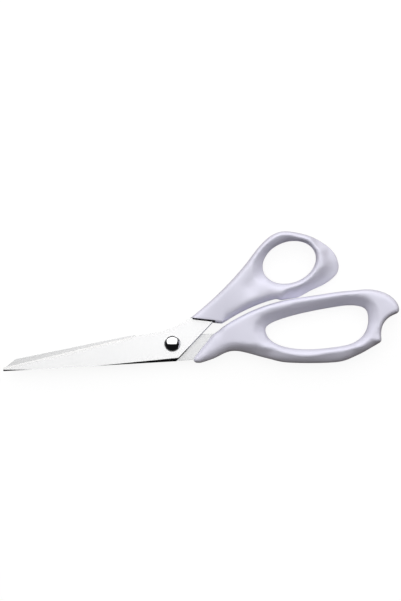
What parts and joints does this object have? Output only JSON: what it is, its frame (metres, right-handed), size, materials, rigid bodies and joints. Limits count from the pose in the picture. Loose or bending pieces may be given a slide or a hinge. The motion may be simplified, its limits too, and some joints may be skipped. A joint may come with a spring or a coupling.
{
  "type": "scissors",
  "caption": "Closed multi-purpose scissors: tapered steel blades on a domed pivot screw, with moulded plastic handles, an oval thumb ring and a long finger loop ending in a beak.",
  "frame": {"origin": "pivot axis at the back of the pivot nut, on the surface that the scissors lie on", "axes": "+X from the pivot towards the handles, with the points at -X, +Y towards the thumb handle's side, +Z along the pivot axis out of the screw's dome"},
  "size_m": [0.2107, 0.0722, 0.0143],
  "materials": {
    "blade_steel": "fine ground, satin",
    "handle_plastic": "smooth moulded, half gloss",
    "screw_steel": "polished",
    "washer_bronze": "stamped, plain",
    "pivot_steel": "turned, satin"
  },
  "bodies": {
    "finger_half": {"rear_blade": "blade_steel", "finger_handle": "handle_plastic", "pivot_screw": "screw_steel", "thrust_washer": "washer_bronze", "spring_washer": "pivot_steel", "pivot_nut": "pivot_steel"},
    "thumb_half": {"front_blade": "blade_steel", "thumb_handle": "handle_plastic"}
  },
  "joints": [
    {"name": "pivot", "type": "hinge", "parent": "finger_half", "child": "thumb_half", "pos_m": [0, 0, 0.0065], "axis": [0, 0, 1], "range_deg": [0, 90]}
  ]
}
